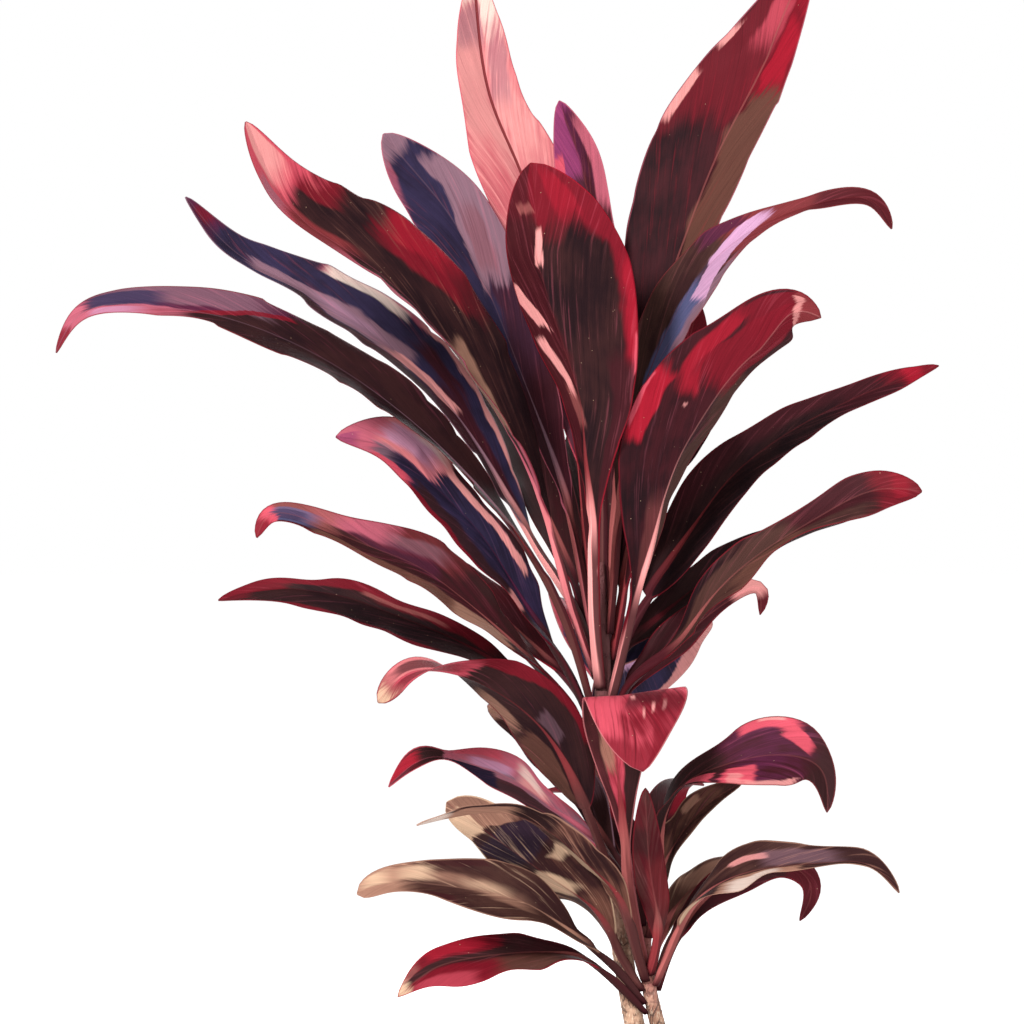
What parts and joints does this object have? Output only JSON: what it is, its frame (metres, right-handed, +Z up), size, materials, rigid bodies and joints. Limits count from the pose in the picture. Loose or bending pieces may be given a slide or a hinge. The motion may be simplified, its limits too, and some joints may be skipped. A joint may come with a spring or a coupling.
{
  "type": "ti plant in a plain pot",
  "caption": "Potted ti plant: a bare woody cane with a head of long arching maroon, red, pink and navy leaves, and a leafy side shoot, standing in soil in a plain round pot.",
  "frame": {"origin": "centre of the pot's flat underside, on the floor", "axes": "+Z up along the plant, +X to the right as the plant is seen from its front, +Y away from the viewer"},
  "size_m": [0.881, 0.5212, 1.3885],
  "materials": {
    "pot": "plain matt plastic, warm off-white",
    "soil": "dark moist potting soil",
    "bark": "rough tan bark with dark cracks",
    "leaf_maroon": "semi-gloss leaf, dark maroon with red margins",
    "leaf_red": "semi-gloss leaf, crimson",
    "leaf_pink": "semi-gloss leaf, salmon and coral pink",
    "leaf_navy": "semi-gloss leaf, navy and mauve",
    "leaf_bronze": "semi-gloss leaf, tan bronze with cream streaks"
  },
  "bodies": {
    "root": {"pot": "pot", "soil": "soil", "cane": "bark", "side_shoot_stem": "bark", "head_leaf_tall_left": "leaf_pink", "head_leaf_small_upper": "leaf_pink", "head_leaf_upper_right": "leaf_maroon", "head_leaf_arching_right": "leaf_navy", "head_leaf_front": "leaf_maroon", "head_leaf_red_right": "leaf_red", "head_leaf_behind_red": "leaf_red", "head_leaf_long_right": "leaf_maroon", "head_leaf_low_right": "leaf_maroon", "head_leaf_curled_right": "leaf_red", "head_leaf_upper_left": "leaf_maroon", "head_leaf_navy_left": "leaf_navy", "head_leaf_narrow_left": "leaf_navy", "head_leaf_long_left": "leaf_maroon", "head_leaf_mid_left": "leaf_navy", "head_leaf_low_left": "leaf_maroon", "head_leaf_lowest_left": "leaf_red", "head_leaf_back_drooping": "leaf_navy", "head_leaf_back_left": "leaf_maroon", "head_leaf_back_right": "leaf_maroon", "head_leaf_back_low_left": "leaf_red", "head_leaf_back_low_right": "leaf_red", "head_leaf_back_middle": "leaf_maroon", "shoot_leaf_red_left": "leaf_red", "shoot_leaf_bronze_left": "leaf_bronze", "shoot_leaf_tan_left": "leaf_bronze", "shoot_leaf_narrow_left": "leaf_bronze", "shoot_leaf_twisted_left": "leaf_pink", "shoot_leaf_mauve_left": "leaf_bronze", "shoot_leaf_curled_left": "leaf_maroon", "shoot_leaf_folded_pink": "leaf_pink", "shoot_leaf_upright_red": "leaf_red", "shoot_leaf_arched_right": "leaf_pink", "shoot_leaf_brown_right": "leaf_bronze", "shoot_leaf_low_right": "leaf_maroon", "shoot_leaf_curled_right": "leaf_red", "shoot_leaf_back_right": "leaf_bronze", "shoot_leaf_back_left": "leaf_maroon", "shoot_leaf_back_middle": "leaf_maroon"}
  },
  "joints": []
}
